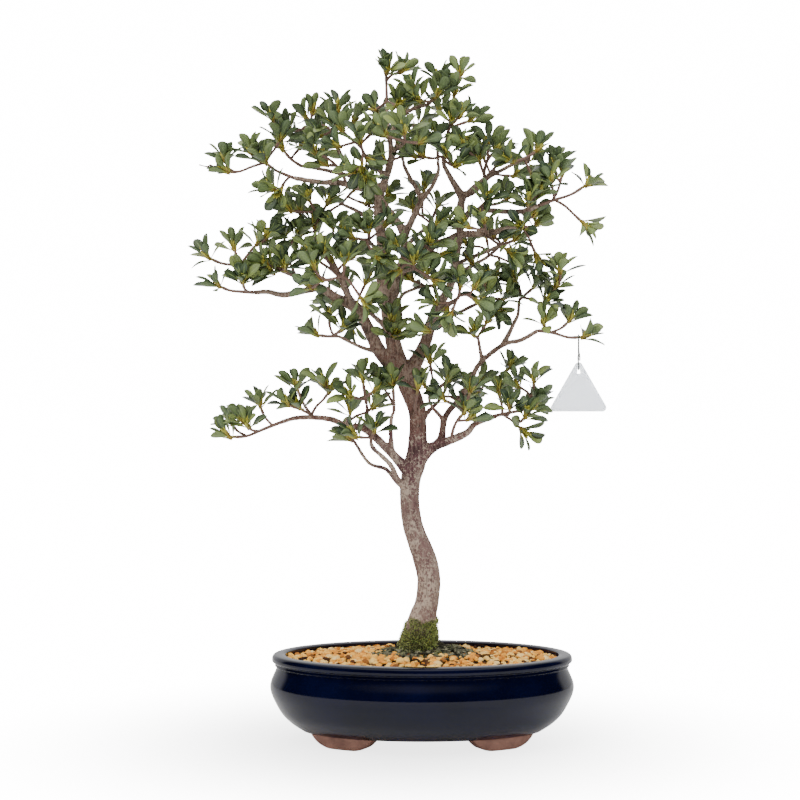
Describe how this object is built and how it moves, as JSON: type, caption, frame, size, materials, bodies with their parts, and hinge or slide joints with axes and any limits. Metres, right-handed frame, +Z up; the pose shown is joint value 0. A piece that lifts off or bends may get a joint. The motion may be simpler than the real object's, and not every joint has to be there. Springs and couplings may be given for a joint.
{
  "type": "potted bonsai tree",
  "caption": "Small evergreen azalea bonsai with a bare lower trunk and an airy crown of leaf whorls, in an oval glazed pot with a lip and feet.",
  "frame": {"origin": "on the surface the pot stands on, under the middle of the whole plant's bounding box; the pot's own middle is 22 mm towards +X", "axes": "+Z up along the trunk, +X to the right and -Y towards the viewer when the tree's front is seen"},
  "size_m": [0.4177, 0.2231, 0.6772],
  "materials": {
    "leaves": null,
    "bark": "flaking purple brown bark with pale patches, mossy at the foot",
    "glaze": "deep navy gloss glaze, bare reddish clay on the feet",
    "grit": "ochre baked clay grit, damp and dark between the grains",
    "screen": "black plastic mesh",
    "tag": "pale lilac translucent plastic, left blank",
    "cord": "dark green cotton cord"
  },
  "bodies": {
    "root": {"apex_right_shoot": "leaves", "apex_shoot": "leaves", "centre_front_shoot": "leaves", "centre_shoot_shoot": "leaves", "crown_front_shoot": "leaves", "crown_rear_shoot": "leaves", "drain_screen_left": "screen", "drain_screen_right": "screen", "fan_front_shoot": "leaves", "fan_left_shoot": "leaves", "hang_tag": "tag", "inner_left_shoot": "leaves", "inner_right_shoot": "leaves", "leader_front_shoot": "leaves", "leader_rear_shoot": "leaves", "left_end_shoot": "leaves", "left_front_shoot": "leaves", "left_inner_end_shoot": "leaves", "left_inner_mid_shoot": "leaves", "left_rear_shoot": "leaves", "left_twig_shoot": "leaves", "left_upper_end_shoot": "leaves", "left_upper_mid_shoot": "leaves", "limb_front_shoot": "leaves", "limb_rear_shoot": "leaves", "low_back_shoot": "leaves", "low_inner_shoot": "leaves", "low_left_back_shoot": "leaves", "low_left_end_shoot": "leaves", "low_left_mid_shoot": "leaves", "low_left_riser_shoot": "leaves", "low_left_under_shoot": "leaves", "low_right_end_shoot": "leaves", "low_right_front_shoot": "leaves", "low_right_riser_shoot": "leaves", "low_right_twig_shoot": "leaves", "mid_front_shoot": "leaves", "pot": "glaze", "right_arm_end_shoot": "leaves", "right_arm_mid_shoot": "leaves", "right_drop_shoot": "leaves", "right_front_shoot": "leaves", "right_high_end_shoot": "leaves", "right_high_mid_shoot": "leaves", "right_high_rear_shoot": "leaves", "right_long_end_shoot": "leaves", "right_long_mid_shoot": "leaves", "right_low_end_shoot": "leaves", "right_low_inner_shoot": "leaves", "right_low_rise_shoot": "leaves", "right_rear_shoot": "leaves", "right_whorl_shoot": "leaves", "soil": "grit", "tag_string": "cord", "top_right_shoot": "leaves", "trunk_front_shoot": "leaves", "upper_left_end_shoot": "leaves", "upper_left_mid_shoot": "leaves", "upper_left_rear_shoot": "leaves", "wood": "bark"}
  },
  "joints": []
}
